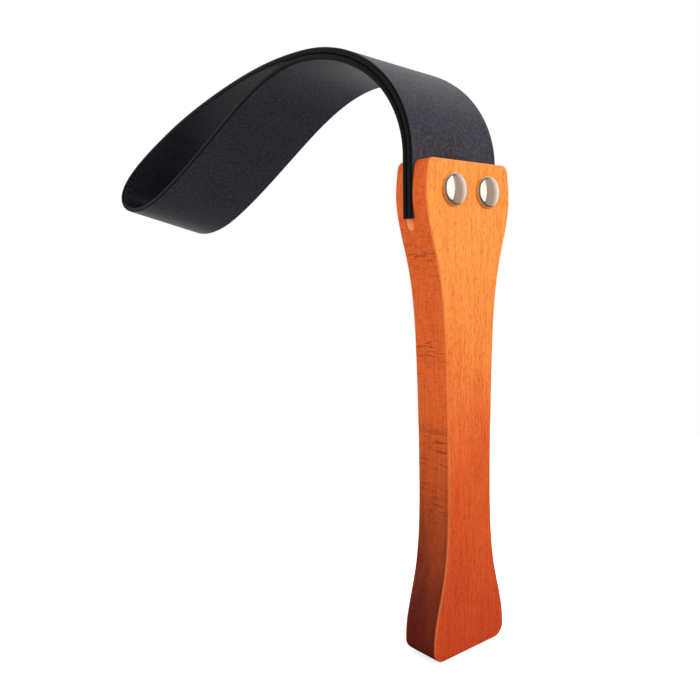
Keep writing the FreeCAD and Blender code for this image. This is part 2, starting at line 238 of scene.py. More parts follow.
def look(azimuth, elevation):
    """Directions of a view: from the aim back to the eye, to the right, and up."""
    back = np.array(
        [
            math.sin(azimuth) * math.cos(elevation),
            -math.cos(azimuth) * math.cos(elevation),
            math.sin(elevation),
        ]
    )
    right = np.array([math.cos(azimuth), math.sin(azimuth), 0.0])
    return back, right, np.cross(back, right)


def make_camera():
    """A camera at the aim plus its distance along the view's back direction."""
    back, right, up = look(AZIMUTH, ELEVATION)
    tilted_right = right * math.cos(ROLL) + up * math.sin(ROLL)
    tilted_up = up * math.cos(ROLL) - right * math.sin(ROLL)
    data = bpy.data.cameras.new("camera")
    data.lens, data.sensor_width = LENS_MM, SENSOR_MM
    data.clip_start, data.clip_end = NEAREST_SEEN, FARTHEST_SEEN
    camera = bpy.data.objects.new("camera", data)
    turn = Matrix(np.stack([tilted_right, tilted_up, back], 1).tolist()).to_4x4()
    camera.matrix_world = Matrix.Translation((AIM + back * DISTANCE).tolist()) @ turn
    bpy.context.scene.collection.objects.link(camera)
    bpy.context.scene.camera = camera
    return camera


camera = make_camera()
print("camera at", [round(v, 4) for v in camera.location])

# %% [markdown]
# The studio is a white floor, a surround that is bright behind the object and dim towards
# the eye, and soft boxes. Shiny metal needs that dark side, or it looks like plaster.
# The two boxes that light the wood are hidden from reflections, and two gentler cards
# show there instead, because a lamp bright enough for wood would burn out the rivets.
# One plain lamp would be simpler, but it can't suit both wood and nickel.

# %% Floor
WHITE, GREY, BLACK = (1.0, 1.0, 1.0), (0.5, 0.5, 0.5), (0.0, 0.0, 0.0)
FLOOR_RADIUS, FIRST_RING, RINGS, SPOKES = 0.45, 0.03, 16, 96
FLOOR_DROP = 0.0004
# the paper's tone to the eye, to matt surfaces, and to shiny ones in front and behind
FLOOR_SEEN, FLOOR_FELT = (0.97, 0.97, 0.97), (0.52, 0.52, 0.58)
FLOOR_MIRRORED, FLOOR_BEHIND = (0.12, 0.085, 0.065), (0.40, 0.40, 0.42)
BEHIND_FROM, BEHIND_TO = 40 * MM, 160 * MM
FLOOR_GLOW, PAPER_GRAIN, PAPER_SPOTS = (0.62, 0.62, 0.62), 300.0, 0.03


def light_path(tree, kind):
    """The output that is 1 for one kind of ray, such as what the eye sees directly."""
    return tree.nodes.new("ShaderNodeLightPath").outputs[f"Is {kind} Ray"]


def make_floor():
    """A wide disc: rings of growing radius round the origin.

    The eye sees white paper that glows a little, so only a contact shadow darkens it.
    The object is lit by a dimmer floor, and shiny surfaces mirror it as dark in front
    and grey behind.
    """
    radii = np.concatenate([[0.0], np.geomspace(FIRST_RING, FLOOR_RADIUS, RINGS)])
    turns = np.linspace(0, 2 * np.pi, SPOKES + 1)[:-1]
    x = radii[:, None] * np.cos(turns)
    y = radii[:, None] * np.sin(turns)
    points = np.stack([x, y, np.full_like(x, -FLOOR_DROP)], -1).reshape(-1, 3)
    paper = Recipe("floor_paper")
    place = paper.node("ShaderNodeTexCoord", out="Object")
    grain = paper.noise(place, PAPER_GRAIN)
    behind = paper.split(place)[1].over(BEHIND_FROM, BEHIND_TO)
    path, mirrored = (Sock(paper, light_path(paper.tree, kind)) for kind in ("Camera", "Glossy"))
    reflection = paper.mix(behind, FLOOR_MIRRORED, FLOOR_BEHIND)
    tone = paper.mix(path, paper.mix(mirrored, FLOOR_FELT, reflection), FLOOR_SEEN)
    tone = paper.mix(grain * PAPER_SPOTS, tone, GREY)
    glow = paper.mix(path, BLACK, FLOOR_GLOW)
    material = paper.finish(Base_Color=tone, Roughness=0.9, Emission_Color=glow, Emission_Strength=1.0)
    floor = new_piece("floor", points, grid_faces(len(radii), len(turns)), material)
    print("floor", len(floor.data.polygons), "faces")


make_floor()

# %% Surround
# the way the bright side lies, behind and to the right, and how far round it fades
BRIGHT_SIDE, FADE_FROM, FADE_TO = (0.46, 0.88, 0.12), -0.15, 0.45
SURROUND_DIM, SURROUND_BRIGHT = (0.19, 0.185, 0.19), WHITE


def make_surround():
    """White to the eye; to the object, bright behind and to the right, dim in front.

    How bright follows how far a direction points along the bright side, on an easy S.
    """
    world = bpy.data.worlds.new("surround")
    bpy.context.scene.world = world
    world.use_nodes = True
    tree = world.node_tree
    tree.nodes.clear()
    direction = tree.nodes.new("ShaderNodeTexCoord")
    facing = tree.nodes.new("ShaderNodeVectorMath")
    facing.operation = "DOT_PRODUCT"
    facing.inputs[1].default_value = BRIGHT_SIDE
    tree.links.new(direction.outputs["Generated"], facing.inputs[0])
    ramp = tree.nodes.new("ShaderNodeMapRange")
    ramp.interpolation_type = "SMOOTHSTEP"
    ramp.inputs["From Min"].default_value = FADE_FROM
    ramp.inputs["From Max"].default_value = FADE_TO
    tree.links.new(facing.outputs["Value"], ramp.inputs["Value"])
    shades = []
    for colour in (SURROUND_DIM, SURROUND_BRIGHT, WHITE):
        shade = tree.nodes.new("ShaderNodeBackground")
        shade.inputs["Color"].default_value = (*colour, 1)
        shades.append(shade.outputs[0])
    felt, seen = (tree.nodes.new("ShaderNodeMixShader") for _ in range(2))
    output = tree.nodes.new("ShaderNodeOutputWorld")
    joins = [
        (ramp.outputs[0], felt.inputs[0]),
        (shades[0], felt.inputs[1]),
        (shades[1], felt.inputs[2]),
        (light_path(tree, "Camera"), seen.inputs[0]),
        (felt.outputs[0], seen.inputs[1]),
        (shades[2], seen.inputs[2]),
        (seen.outputs[0], output.inputs["Surface"]),
    ]
    for source, target in joins:
        tree.links.new(source, target)


make_surround()
print("surround", len(bpy.context.scene.world.node_tree.nodes), "nodes")

# %% Soft boxes and cards
RIVETS = (0.0, -0.01, 0.18)
# name, place, target, width, height, brightness, colour, and seen only as a reflection
SOFT_BOXES = (
    ("key_box", (0.10, -0.42, 0.34), (0, 0, 0.16), 0.30, 0.30, 6.1, WHITE, False),
    ("side_box", (-0.46, -0.20, 0.30), (0, 0.02, 0.15), 0.35, 0.30, 3.75, WHITE, False),
    ("white_card", (0.040, -0.346, 0.24), RIVETS, 0.31, 0.38, 1.30, (1.0, 0.95, 0.89), True),
    ("warm_card", (0.348, -0.222, 0.21), RIVETS, 0.37, 0.44, 1.0, (0.32, 0.19, 0.125), True),
)


def soft_box(name, place, target, wide, tall, brightness, colour, mirrored):
    """A rectangular light facing a target, seen either as light or only as a reflection.

    Its power is the brightness times its area times pi, so brightness 1 looks white.
    """
    data = bpy.data.lights.new(name, "AREA")
    data.shape, data.size, data.size_y = "RECTANGLE", wide, tall
    data.energy, data.color = brightness * wide * tall * math.pi, colour
    light = bpy.data.objects.new(name, data)
    light.location = place
    light.rotation_euler = (Vector(target) - Vector(place)).to_track_quat("-Z", "Y").to_euler()
    light.visible_camera = False
    light.visible_glossy, light.visible_diffuse = mirrored, not mirrored
    bpy.context.scene.collection.objects.link(light)


for soft_box_facts in SOFT_BOXES:
    soft_box(*soft_box_facts)
bpy.context.scene.view_settings.view_transform = "Standard"
print("lights", [facts[0] for facts in SOFT_BOXES])

# %% [markdown]
# ## Beech handle
#
# The handle is sawn from a board: a waisted outline with all its edges eased, stained
# orange and lacquered. A profile that rounds over each face is carried round the
# outline, and the two flat faces close it. A knife-sharp box with a bevel could do the
# same, but a formula keeps the rounding even round the tight corners.

# %% Handle outline
handle_low, handle_high = (np.array(corner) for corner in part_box("handle"))
LENGTH = handle_high[2] - handle_low[2]
THICKNESS = handle_high[1] - handle_low[1]
EDGE_ROUND, BUTT_CORNER, MOUTH_CORNER = 1.1 * MM, 5.0 * MM, 2.5 * MM
SIDE_STEPS, CORNER_STEPS, EDGE_STEPS = 150, 13, 8
# height and half width, in mm, of the places that shape the waisted side
STATIONS = MM * np.array(
    [
        (0, 20), (10, 19.8), (30, 15.1), (46, 12.7), (68, 12), (112, 12.9),
        (137, 14.5), (153, 17.3), (177, 23), (191, 21.5),
    ]
)


def smooth_through(at, knots, values):
    """A natural cubic spline: cubic pieces that share slope and bend at every knot.

    The bends at the knots solve one small set of linear equations, and each piece then
    follows from its two ends' values and bends.
    """
    gap = np.diff(knots)
    count = len(knots)
    matrix, right = np.eye(count), np.zeros(count)
    for k in range(1, count - 1):
        matrix[k, k - 1 : k + 2] = gap[k - 1], 2 * (gap[k - 1] + gap[k]), gap[k]
        right[k] = 6 * ((values[k + 1] - values[k]) / gap[k] - (values[k] - values[k - 1]) / gap[k - 1])
    bend = np.linalg.solve(matrix, right)
    k = np.clip(np.searchsorted(knots, at) - 1, 0, count - 2)
    a, b, h = knots[k + 1] - at, at - knots[k], gap[k]
    line = values[k] * a / h + values[k + 1] * b / h
    return line + (bend[k] * (a**3 / h - a * h) + bend[k + 1] * (b**3 / h - b * h)) / 6


def side_points():
    """The right-hand side from the butt's middle to the mouth's middle, as (x, z).

    Straight along the butt, a quarter circle round the corner, up the waisted side, a
    quarter circle at the mouth and straight back to the middle.
    """
    butt, mouth = STATIONS[0, 1] - BUTT_CORNER, STATIONS[-1, 1] - MOUTH_CORNER
    turn = np.linspace(0, np.pi / 2, CORNER_STEPS)
    butt_run = np.linspace(0, butt, CORNER_STEPS)[:-1]
    heights = np.concatenate(
        [
            BUTT_CORNER * (1 - np.cos(turn)),
            np.linspace(BUTT_CORNER, LENGTH - MOUTH_CORNER, SIDE_STEPS)[1:-1],
            LENGTH - MOUTH_CORNER * (1 - np.sin(turn)),
        ]
    )
    inset = np.zeros_like(heights)
    inset[: turn.size] = BUTT_CORNER * (1 - np.sin(turn))
    inset[-turn.size :] = MOUTH_CORNER * (1 - np.cos(turn))
    halves = smooth_through(heights, STATIONS[:, 0], STATIONS[:, 1]) - inset
    mouth_run = np.linspace(mouth, 0, CORNER_STEPS)[1:]
    low = np.stack([butt_run, np.zeros_like(butt_run)], -1)
    high = np.stack([mouth_run, np.full_like(mouth_run, LENGTH)], -1)
    return np.concatenate([low, np.stack([halves, heights], -1), high])


# %% Handle blank


def closed_outline():
    """The whole outline, anticlockwise seen from the front, and its outward normals."""
    right = side_points()
    left = right[-2:0:-1] * [-1, 1]
    outline = np.concatenate([right, left])
    along = np.roll(outline, -1, 0) - np.roll(outline, 1, 0)
    outward = np.stack([along[:, 1], -along[:, 0]], -1)
    return outline, outward / np.linalg.norm(outward, axis=1, keepdims=True)


def rounded_board():
    """The board: at each outline point, a profile of (inset, depth) from face to face."""
    outline, outward = closed_outline()
    turn = np.linspace(0, np.pi / 2, EDGE_STEPS)
    inset = EDGE_ROUND * (1 - np.sin(turn))
    depth = THICKNESS / 2 - EDGE_ROUND * (1 - np.cos(turn))
    inset = np.concatenate([inset, inset[::-1]])
    depth = np.concatenate([-depth, depth[::-1]])
    spots = outline[:, None, :] - outward[:, None, :] * inset[None, :, None]
    y = np.broadcast_to(depth, spots.shape[:2])
    points = np.stack([spots[..., 0], y, spots[..., 1]], -1).reshape(-1, 3)
    rows, columns = spots.shape[:2]
    faces = grid_faces(rows, columns, wrap_rows=True, wrap_columns=False).tolist()
    front = (np.arange(rows) * columns).tolist()
    back = (np.arange(rows) * columns + columns - 1).tolist()
    return points, faces + [front, back[::-1]]


points, faces = rounded_board()
handle = new_piece("handle_wood", points, faces)
faces_outward(handle)
print("handle", len(handle.data.polygons), "faces")

# %% [markdown]
# The slot that takes the leather, the round-ended saw cut under it and the two rivet
# holes are cut with Boolean modifiers, as a maker cuts them after shaping the board.
# The cutters carry a second, paler finish with a faint painted glow, so fresh-cut wood shows bright
# inside the slot.

# %% Cutters
root_low, root_high = (np.array(corner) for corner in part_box("strap_root"))
KERF_HALF, KERF_DEPTH, KERF_BACK = 1.6 * MM, 25.7 * MM, 1.75 * MM
post_low, post_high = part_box("rivet_right_post")
RIVET_X = (post_low.x + post_high.x) / 2
RIVET_Z = (post_low.z + post_high.z) / 2
HOLE_RADIUS = 2.3 * MM
# how far the slot's cutter stands above the mouth, the saw cut runs up into the slot, and
# the cutters of the slot and the holes reach from the board's middle
CLEAR_ABOVE, KERF_OVERLAP, SLOT_REACH, HOLE_REACH = 5 * MM, 0.5 * MM, 0.04, 0.03


def slot_outline():
    """The slot from the side, as (y, z): the leather's width, then the narrower cut."""
    front, back, tails = root_low[1], root_high[1], root_low[2]
    kerf_top, kerf_middle = tails + KERF_OVERLAP, LENGTH - KERF_DEPTH + KERF_HALF
    above = LENGTH + CLEAR_ABOVE
    turn = np.linspace(np.pi, 2 * np.pi, CORNER_STEPS)
    round_y, round_z = KERF_BACK + KERF_HALF * np.cos(turn), kerf_middle + KERF_HALF * np.sin(turn)
    round_end = np.stack([round_y, round_z], -1)
    high = [(back, above), (front, above), (front, kerf_top), (KERF_BACK - KERF_HALF, kerf_top)]
    low = [(KERF_BACK + KERF_HALF, tails), (back, tails)]
    return np.concatenate([high, round_end, low])


def prism(name, outline, start, stop, axes):
    """An outline carried straight from start to stop along the axis that axes leaves out."""
    ends = []
    for place in (start, stop):
        block = np.full((len(outline), 3), float(place))
        block[:, list(axes)] = outline
        ends.append(block)
    count = len(outline)
    faces = grid_faces(2, count).tolist() + [list(range(count))[::-1], list(range(count, 2 * count))]
    cutter = new_piece(name, np.concatenate(ends), faces, smooth=False)
    faces_outward(cutter)
    return cutter


def circle(x, z, radius, count=32):
    """Points round a circle."""
    turn = np.linspace(0, 2 * np.pi, count + 1)[:-1]
    return np.stack([x + radius * np.cos(turn), z + radius * np.sin(turn)], -1)


cutters = [prism("slot_cutter", slot_outline(), -SLOT_REACH, SLOT_REACH, (1, 2))]
for side in (-1, 1):
    ring = circle(side * RIVET_X, RIVET_Z, HOLE_RADIUS)
    cutters.append(prism(f"hole_cutter_{side}", ring, -HOLE_REACH, HOLE_REACH, (0, 2)))
print("cutters", [cutter.name for cutter in cutters])

# %% [markdown]
# Beech shows short dark flecks along the grain on its flat face and fine ripples across
# its narrow side. The orange colour darkens towards the butt and on the narrow side, partly
# as the stain takes deeper and partly as painted shade, and the top of the flat face is
# painted lighter as if lit. The stain has worn thin along the eased edges. Every pattern
# reads object coordinates, stretched along the board or across it, so it runs through the
# wood as real grain does. A flat pattern laid on each face would be easier, but it
# wouldn't meet at the edges.

# %% Wood finishes
# colours up the flat face and the narrow side, each part stain and part painted light: painted shade
# towards the butt and over the narrow side, painted light at the top
LOW_STAIN_AND_SHADE, MIDDLE_STAIN_AND_SHADE, TOP_STAIN_AND_LIGHT = (0.66, 0.074, 0.013), (0.82, 0.140, 0.024), (0.98, 0.330, 0.062)
SIDE_LOW_STAIN_AND_SHADE, SIDE_TOP_STAIN_AND_LIGHT = (0.15, 0.014, 0.004), (0.95, 0.160, 0.022)
WORN_STAIN, FRESH_WOOD = (1.0, 0.31, 0.095), (1.0, 0.60, 0.30)
# painted glow: the bare wood in the cut gets a faint emission, so it shows bright though it is no lamp
CUT_PAINTED_GLOW = (0.22, 0.075, 0.030)
# what fibres and flecks, and then ripples, let through of the stain they lie on
FLECK_TINT, RIPPLE_TINT = (0.58, 0.38, 0.34), (0.30, 0.20, 0.24)
# the ripples' bands up the narrow side: the middle height and half height of each
RIPPLE_BANDS = ((0.083, 0.014), (0.121, 0.009), (0.155, 0.010), (0.062, 0.010))
BETWEEN_BANDS = 0.15
# how finely each pattern runs across, through and along the board, per metre
MOTTLE, MOTTLE_TURN, FIBRES = (90, 70, 20), (0, 0.35, 0), (1300, 1300, 40)
UPRIGHT_FLECKS, LYING_FLECKS = (2800, 900, 520), (900, 420, 2400)
RIPPLES, RIPPLE_TURN = (60, 90, 1000), (0.12, 0, 0)
# how strongly each shows, and how deep the grain stands
MOTTLE_PULL, FIBRE_SHARE, FLECK_SHARE, RIPPLE_SHARE = 0.36, 0.42, 0.55, 0.55
WORN_SHARE, FRESH_SHARE, GRAIN_DEPTH = 0.40, 0.9, 0.00006


def beech(name, pale_with_painted_glow=False):
    """Stained beech: stain and painted shade by height and face, then mottling, fibres, flecks and
    ripples; the pale kind is bare wood with a painted glow.
    """
    wood = Recipe(name)
    where = wood.node("ShaderNodeTexCoord", out="Object")
    _, depth, height = wood.split(where)
    flat = abs(depth).over(THICKNESS / 2 - EDGE_ROUND, THICKNESS / 2)
    worn = flat * (1 - flat) * 4
    drift = wood.noise(wood.moved(where, MOTTLE, turn=MOTTLE_TURN), 1.0, 3.0)
    rise = height * (1 / LENGTH) + (drift - 0.5) * MOTTLE_PULL
    # flat face and narrow side are lit and shaded copies of one stain: both darken towards the butt with
    # painted shade, and the side is painted darker
    front = wood.mix(rise.over(0.0, 0.55), LOW_STAIN_AND_SHADE, MIDDLE_STAIN_AND_SHADE)
    front = wood.mix(rise.over(0.35, 0.85), front, TOP_STAIN_AND_LIGHT)
    side = wood.mix(rise.over(0.02, 0.62), SIDE_LOW_STAIN_AND_SHADE, SIDE_TOP_STAIN_AND_LIGHT)
    stain_and_shade = wood.mix(flat, side, front)
    fibre = wood.noise(wood.moved(where, FIBRES), 1.0, 4.0, 0.65)
    stain_and_shade = wood.mix(fibre.over(0.42, 0.68) * FIBRE_SHARE, stain_and_shade, FLECK_TINT, "MULTIPLY")
    upright = wood.noise(wood.moved(where, UPRIGHT_FLECKS), 1.0, 2.0).over(0.53, 0.63)
    lying = wood.noise(wood.moved(where, LYING_FLECKS), 1.0, 1.0).over(0.56, 0.70)
    flecks = upright * flat + lying * (1 - flat)
    stain_and_shade = wood.mix(flecks * FLECK_SHARE, stain_and_shade, FLECK_TINT, "MULTIPLY")
    wave = wood.noise(wood.moved(where, RIPPLES, turn=RIPPLE_TURN), 1.0, 2.0, 0.6, 1.0)
    bands = BETWEEN_BANDS
    for middle, half in RIPPLE_BANDS:
        bands = (1 - abs(height - middle) / half).over(0.0, 1.0) + bands
    ripples = wave.over(0.50, 0.64) * bands * (1 - flat)
    stain_and_shade = wood.mix(ripples * RIPPLE_SHARE, stain_and_shade, RIPPLE_TINT, "MULTIPLY")
    stain_and_shade = wood.mix(worn * WORN_SHARE, stain_and_shade, WORN_STAIN)
    if pale_with_painted_glow:
        stain_and_shade = wood.mix(FRESH_SHARE, stain_and_shade, FRESH_WOOD)
    grain = fibre * 0.6 - flecks * 0.5 - ripples * 0.6
    normal = wood.bump(grain, GRAIN_DEPTH, 0.5)
    rough = 0.38 + fibre * 0.12
    return wood.finish(
        Base_Color=stain_and_shade,
        Roughness=rough,
        Normal=normal,
        Specular_IOR_Level=0.12,
        Coat_Weight=0.0 if pale_with_painted_glow else 0.05,
        # the pale cut finish gets a faint painted glow, though the wood is no lamp
        Emission_Color=CUT_PAINTED_GLOW if pale_with_painted_glow else BLACK,
        Emission_Strength=1.0,
        Coat_Roughness=0.22,
    )


wood_finish, cut_finish = beech("lacquered_beech"), beech("fresh_cut_beech", pale_with_painted_glow=True)
handle.data.materials.append(wood_finish)
handle.data.materials.append(cut_finish)
print("wood finishes", [finish.name for finish in handle.data.materials])

# %% Cut the handle


def cut_out(piece, cutter):
    """Takes one cutter out of a piece for good, handing over the cutter's finish."""
    cutter.data.materials.append(cut_finish)
    cut = piece.modifiers.new("cut", "BOOLEAN")
    cut.operation, cut.solver, cut.object = "DIFFERENCE", "EXACT", cutter
    cut.material_mode = "TRANSFER"
    shape = bpy.data.meshes.new_from_object(piece.evaluated_get(bpy.context.evaluated_depsgraph_get()))
    piece.modifiers.clear()
    piece.data = shape
    bpy.data.objects.remove(cutter)


for cutter in cutters:
    cut_out(handle, cutter)


def crisp(piece, degrees):
    """Smooth shading, except across edges that turn by more than an angle."""
    piece.data.shade_smooth()
    piece.data.set_sharp_from_angle(angle=math.radians(degrees))
    weighted = piece.modifiers.new("weighted_normals", "WEIGHTED_NORMAL")
    weighted.keep_sharp = True


CRISP_HANDLE = 32
crisp(handle, CRISP_HANDLE)
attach(handle, "handle")
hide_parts("handle")
print("handle cut", len(handle.data.polygons), "faces")

# %% [markdown]
# ## Leather strip
#
# One strip runs up from the slot as the outer layer, over the crown, round the fold and
# back down inside. Its section, a flat bar with burnished round edges, is carried along
# that path. The path is worked out from how sharply the strip bends at a few places,
# because bending is what leather resists: curvature that changes evenly looks sprung,
# while points joined by hand look dented. It is one mesh, from tail to tail.

# %% Path of the strip
LEATHER = 2.4 * MM
AIR = (root_high[1] - root_low[1]) - 2 * LEATHER
WIDTH = root_high[0] - root_low[0]
SET_BACK = (root_high[1] + root_low[1]) / 2
FREE = 244.0 * MM
# how fast the strip turns at six even steps along it, given in degrees per 100 mm
TURN_PER_M = np.radians([171.3, 82.5, 55.6, 12.3, 3.3, -99.1]) * 10
DRIFT, TWIST = 22.2 * MM, math.radians(11.9)
EYE_START, EYE_HEIGHT, FOLD_DEPTH = 85.3 * MM, 28.8 * MM, 35.1 * MM
FOLD_START = FREE - FOLD_DEPTH
NECK = 1.0 * MM
LINE_STEPS, TAIL_STEPS, LAYER_STEPS, FOLD_STEPS = 2001, 16, 190, 90


def unit(vectors):
    """Vectors of length one."""
    return vectors / np.linalg.norm(vectors, axis=-1, keepdims=True)


def middle_line(distances):
    """Place, forward, sideways and outward of the doubled strip at each distance.

    The direction is straight up less the bend added up so far, and the place adds up
    the direction. The line drifts to one side with the square of the distance, and the
    strip rolls about it evenly.
    """
    fine = np.linspace(0, FREE + LEATHER, LINE_STEPS)
    share = np.clip((fine - NECK) / (FREE - NECK), 0, 1)
    bend = np.interp(share, np.linspace(0, 1, TURN_PER_M.size), TURN_PER_M) * (fine >= NECK)
    step = fine[1] - fine[0]
    heading = np.pi / 2 - np.concatenate([[0], np.cumsum((bend[1:] + bend[:-1]) / 2 * step)])
    middle = (heading[1:] + heading[:-1]) / 2
    y = SET_BACK + np.concatenate([[0], np.cumsum(np.cos(middle) * step)])
    z = LENGTH + np.concatenate([[0], np.cumsum(np.sin(middle) * step)])
    turned = np.interp(distances, fine, heading)
    part = distances / FREE
    place = np.stack([-DRIFT * part**2, np.interp(distances, fine, y), np.interp(distances, fine, z)], -1)
    forward = unit(np.stack([-2 * DRIFT * part / FREE, np.cos(turned), np.sin(turned)], -1))
    level = unit(np.array([1.0, 0, 0]) - forward * forward[:, :1])
    roll = (TWIST * part)[:, None]
    sideways = level * np.cos(roll) + np.cross(forward, level) * np.sin(roll)
    return place, forward, sideways, np.cross(sideways, forward)


# %% Two layers and a fold


def half_opening(distances):
    """Half the gap between the layers: shut, then an easy S up to the full eye."""
    share = np.clip((distances - EYE_START) / (FOLD_START - EYE_START), 0, 1)
    return (AIR + (EYE_HEIGHT - AIR) * share**2 * (3 - 2 * share)) / 2


def strip_path():
    """Centre, sideways and normal of the strip from the front tail round to the back one.

    Round the fold, the distance along the middle line follows the cosine of a turn from
    plus to minus a quarter, and the reach from that line follows its sine.
    """
    tails = np.linspace(root_low[2] - LENGTH, 0, TAIL_STEPS)[:-1]
    stops = np.linspace(0, FOLD_START, LAYER_STEPS)
    place, _, sideways, outward = middle_line(stops)
    reach = (half_opening(stops) + LEATHER / 2)[:, None]
    turn = np.linspace(np.pi / 2, -np.pi / 2, FOLD_STEPS)[1:-1]
    high, deep = reach[-1], FOLD_DEPTH + LEATHER / 2
    spot, ahead, side, out = middle_line(FOLD_START + deep * np.cos(turn))
    swing, lift = np.cos(turn)[:, None], np.sin(turn)[:, None]
    fold, fold_out = spot + out * high * lift, unit(ahead * high * swing + out * deep * lift)
    x_axis = np.broadcast_to([1.0, 0, 0], (tails.size, 3))
    front_out = np.broadcast_to([0, -1.0, 0], (tails.size, 3))
    tail = np.stack([tails * 0, tails * 0 + SET_BACK, tails + LENGTH], -1)
    tail_reach = (AIR + LEATHER) / 2
    centre = [tail + front_out * tail_reach, place + outward * reach, fold]
    centre += [(place - outward * reach)[::-1], (tail - front_out * tail_reach)[::-1]]
    across = [x_axis, sideways, side, sideways[::-1], x_axis]
    normal = [front_out, outward, fold_out, -outward[::-1], -front_out]
    return (np.concatenate(part) for part in (centre, across, normal))


# %% Section of the strip
STRIP_EDGE_ROUND, FACE_STEPS, ROUND_STEPS = 0.75 * MM, 27, 6


def strip_section(edge_round):
    """The strip's section as (across, thick, distance round it, on the cut edge or not).

    A flat bar whose corners are quarter circles, with points packed towards the edges.
    """
    half_w, half_t = WIDTH / 2, LEATHER / 2
    run = np.sin(np.linspace(-np.pi / 2, np.pi / 2, FACE_STEPS))[1:-1] * (half_w - edge_round)
    turn = np.linspace(0, np.pi / 2, ROUND_STEPS)
    corner_x = half_w - edge_round + edge_round * np.sin(turn)
    corner_t = half_t - edge_round + edge_round * np.cos(turn)
    top = np.stack([run, np.full_like(run, half_t)], -1)
    right = np.stack([corner_x, corner_t], -1)
    right_low = right[::-1] * [1, -1]
    bottom = top[::-1] * [1, -1]
    left_low, left = right * [-1, -1], right[::-1] * [-1, 1]
    ring = np.concatenate([top, right, right_low, bottom, left_low, left])
    length = np.concatenate([[0], np.cumsum(np.linalg.norm(np.diff(ring, axis=0), axis=1))])
    edge = np.clip((np.abs(ring[:, 0]) - (half_w - edge_round)) / (0.6 * edge_round), 0, 1)
    return ring[:, 0], ring[:, 1], length, edge


# %% Strip mesh


def make_strip():
    """Carries the section along the path, closes both tail ends, and maps the surface."""
    centre, sideways, normal = strip_path()
    across, thick, round_it, edge = strip_section(STRIP_EDGE_ROUND)
    points = centre[:, None] + sideways[:, None] * across[None, :, None]
    points = points + normal[:, None] * thick[None, :, None]
    rows, columns = points.shape[:2]
    along = np.concatenate([[0], np.cumsum(np.linalg.norm(np.diff(centre, axis=0), axis=1))])
    first = list(range(columns))
    last = [(rows - 1) * columns + k for k in range(columns)]
    faces = grid_faces(rows, columns).tolist() + [first, last[::-1]]
    strip = new_piece("leather_strip", points.reshape(-1, 3), faces)
    set_uv(strip, np.tile(round_it, rows), np.repeat(along, columns))
    store(strip, "cut_edge", np.tile(edge, rows))
    print("strip length", round(float(along[-1]), 4), "points", rows * columns)
    return strip, float(along[-1])


strip, strip_length = make_strip()

# %% [markdown]
# Black dyed leather is never plain black: a fine pebbled grain catches a soft, slightly
# blue light, and the cut edges are burnished darker and smoother. The pattern reads the
# strip's own surface map, so it bends with the leather instead of sliding through it.

# %% Leather finish
CLOUD_DARK, CLOUD_LIGHT = (0.0085, 0.0088, 0.0140), (0.0180, 0.0185, 0.0275)
BLOTCH_TONE, FIBRE_TONE = (0.056, 0.057, 0.082), (0.058, 0.057, 0.080)
BURNISHED = (0.003, 0.003, 0.0035)
# about how many clouds, pebbles, blotches and fibres lie along a metre, and their depth
CLOUDS, PEBBLES, BLOTCHES, HIDE_FIBRES = 60.0, 1100.0, 620.0, 1700.0
PEBBLE_DEPTH = 0.00012


def black_leather():
    """Dyed grain leather: cloudy tone, fine pebbles and mottling, with burnished edges.

    Only the faces carry the sheen, as a soft coat, so the cut edges stay near black.
    """
    hide = Recipe("black_leather")
    surface = hide.node("ShaderNodeUVMap", {"uv_map": "surface"})
    edge = hide.node("ShaderNodeAttribute", {"attribute_name": "cut_edge"}, out="Fac")
    face = 1 - edge
    cloud = hide.noise(surface, CLOUDS, 4.0, 0.6)
    pebble = hide.node("ShaderNodeTexVoronoi", {"feature": "F1"}, {"Vector": surface, "Scale": PEBBLES})
    blotch = hide.noise(surface, BLOTCHES, 5.0, 0.75)
    fibre = hide.noise(surface, HIDE_FIBRES, 3.0, 0.65)
    tone = hide.mix(cloud.over(0.30, 0.72), CLOUD_DARK, CLOUD_LIGHT)
    tone = hide.mix(blotch.over(0.45, 0.62) * 0.55, tone, BLOTCH_TONE)
    tone = hide.mix(fibre.over(0.50, 0.68) * 0.40, tone, FIBRE_TONE)
    tone = hide.mix(edge, tone, BURNISHED)
    height = (pebble * 0.55 + fibre * 0.6 + blotch * 0.6) * face + cloud * 0.5
    normal = hide.bump(height, PEBBLE_DEPTH, 0.6)
    rough = (0.50 + fibre * 0.16 + cloud * 0.08) * face + edge * 0.5
    sheen = face * (0.30 + blotch * 0.4)
    return hide.finish(
        Base_Color=tone,
        Roughness=rough,
        Normal=normal,
        Specular_IOR_Level=0.12,
        Coat_Weight=sheen,
        Coat_Roughness=0.42,
    )


CRISP_STRIP = 60
strip.data.materials.append(black_leather())
strip.data.set_sharp_from_angle(angle=math.radians(CRISP_STRIP))

# %% [markdown]
# The tails stay in the handle and the loop swings, so the one mesh would have to bend where
# the two meet, because two meshes would open a gap there. Only the ends of that bend are
# worked out here: short and round about the flexing line, running up and towards the side
# that the strap bends to; nothing here makes the mesh bend. A longer bend puts an S in the
# strap at its limits. The strip was cut flat before it was folded, so its flat size is
# stated too.

# %% Bend and flat size
FLEX_LINE = np.array([0, SET_BACK, LENGTH + NECK])
LEAN = unit(np.array([0, 0.45, 0.90]))
BEND_BELOW, BEND_ABOVE = 4 * MM, 5 * MM
bend_start, bend_end = FLEX_LINE - LEAN * BEND_BELOW, FLEX_LINE + LEAN * BEND_ABOVE
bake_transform(strip)
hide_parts("strap_root", "strap_loop")
print("flat strip", [round(float(size), 4) for size in (WIDTH, strip_length)])

# %% [markdown]
# ## Double-cap rivets
#
# Each rivet's head is a thin domed cap with a rolled shoulder, its rim turned in under
# a flange. A cap is a profile spun about the rivet's axis. Flat-shaded CAD domes would
# break a reflection into facets, so the four caps are spun again, finely.

